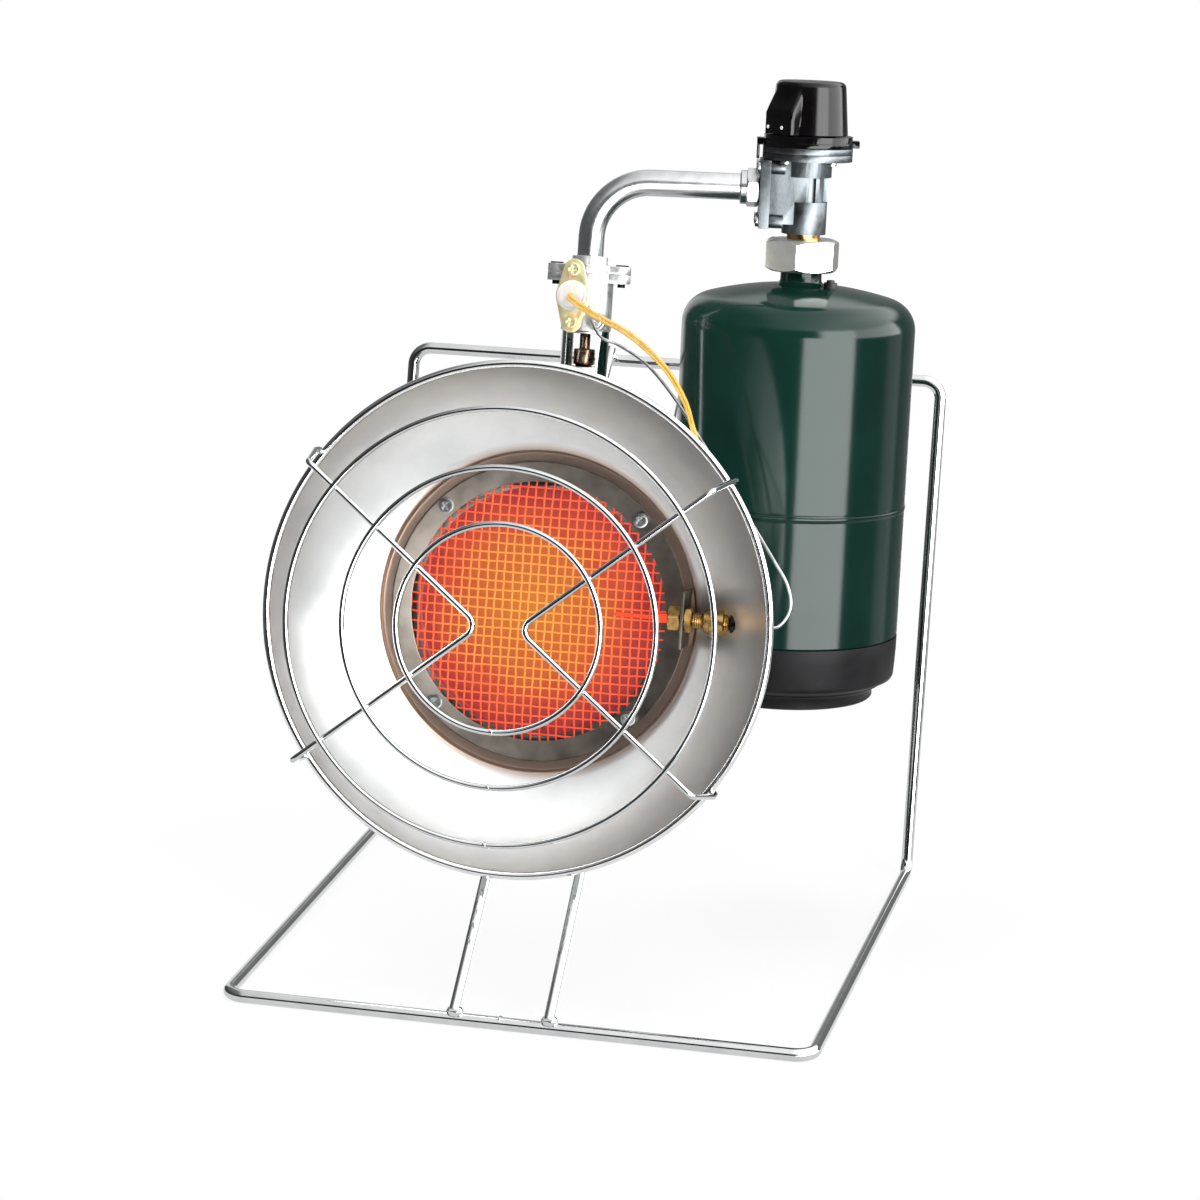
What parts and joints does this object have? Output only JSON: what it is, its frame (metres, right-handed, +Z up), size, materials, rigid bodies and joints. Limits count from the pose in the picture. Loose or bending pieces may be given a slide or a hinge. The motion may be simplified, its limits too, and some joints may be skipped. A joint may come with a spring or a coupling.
{
  "type": "portable propane heater",
  "caption": "Bowl-shaped radiant gas heater on a bent wire stand, with wire guard, safety valve, regulator with control knob, and a screw-on gas cylinder hanging behind.",
  "frame": {"origin": "on the floor, in the middle of the outline", "axes": "+Z up, -Y the way the burner faces, +X to the cylinder side"},
  "size_m": [0.2532, 0.3026, 0.3598],
  "materials": {
    "chrome_wire": "bright chrome-plated wire",
    "satin_steel": "spun and polished steel sheet",
    "burner_steel": "pressed steel sheet",
    "hot_screen": "heat-resisting wire cloth, glowing",
    "zinc_steel": "zinc-plated steel",
    "yellow_zinc": "yellow chromated zinc plating",
    "die_cast": "die-cast zinc alloy",
    "tube_chrome": "satin chrome-plated tube",
    "brass": "turned brass",
    "black_steel": "black oxide",
    "white_ceramic": "white moulded case",
    "yellow_lead": "yellow insulated lead",
    "black_plastic": "gloss black moulded plastic",
    "black_rubber": "black rubber",
    "green_paint": "gloss dark green paint",
    "cup_plastic": "charcoal moulded plastic"
  },
  "bodies": {
    "stand": {"stand_wire": "chrome_wire", "stand_struts": "chrome_wire", "burner_bracket": "zinc_steel", "bracket_screws": "zinc_steel", "reflector_dish": "satin_steel", "screen_ring": "satin_steel", "burner_screen": "hot_screen", "flange_screws": "zinc_steel", "baffle_plate": "burner_steel", "burner_pan": "burner_steel", "mixing_tube": "zinc_steel", "orifice_jet": "brass", "guard_v_left": "chrome_wire", "guard_v_right": "chrome_wire", "guard_ring_outer": "chrome_wire", "guard_ring_middle": "chrome_wire", "guard_ring_inner": "chrome_wire", "thermocouple_probe": "brass", "thermocouple_nuts": "brass", "thermocouple_bracket": "zinc_steel", "junction_sleeve": "black_plastic", "thermocouple_lead": "zinc_steel", "lead_nut": "zinc_steel", "valve_body": "die_cast", "valve_cap": "die_cast", "lug_screws": "black_steel", "switch_plate": "yellow_zinc", "plate_screws": "yellow_zinc", "tilt_switch": "white_ceramic", "switch_leads": "yellow_lead", "button_spring": "zinc_steel", "gas_tube": "tube_chrome"},
    "regulator": {"union_nut": "tube_chrome", "union_seal": "black_rubber", "side_plate": "die_cast", "side_plate_screws": "zinc_steel", "regulator_body": "die_cast", "diaphragm": "black_rubber", "regulator_spring": "zinc_steel", "spring_cap": "brass", "bonnet": "die_cast", "bonnet_screws": "zinc_steel", "knob_bezel": "black_plastic", "inlet_stem": "brass", "cylinder_nut": "tube_chrome", "inlet_gasket": "black_rubber", "depressor_pin": "brass"},
    "knob": {"control_knob": "black_plastic", "knob_shaft": "zinc_steel"},
    "cylinder": {"cylinder_shell": "green_paint", "cylinder_neck": "green_paint", "valve_core": "brass", "relief_valve": "black_rubber", "foot_cup": "cup_plastic"},
    "button": {"push_button": "black_plastic"}
  },
  "joints": [
    {"name": "regulator_swivel", "type": "hinge", "parent": "stand", "child": "regulator", "pos_m": [0.0705, 0.0431, 0.3148], "axis": [0.9844, 0.1759, 0], "range_deg": [-15, 18]},
    {"name": "knob_turn", "type": "hinge", "parent": "regulator", "child": "knob", "pos_m": [0.0705, 0.0431, 0.3148], "axis": [0, 0, 1], "range_deg": [0, 180]},
    {"name": "cylinder_unscrew", "type": "slide", "parent": "regulator", "child": "cylinder", "axis": [0, 0, -1], "range_m": [0, 0.04]},
    {"name": "button_press", "type": "slide", "parent": "stand", "child": "button", "axis": [0, -0.9945, 0.1045], "range_m": [0, 0.004], "stiffness_N_per_m": 400, "springref_m": -0.002, "deforming": ["button_spring"]}
  ]
}
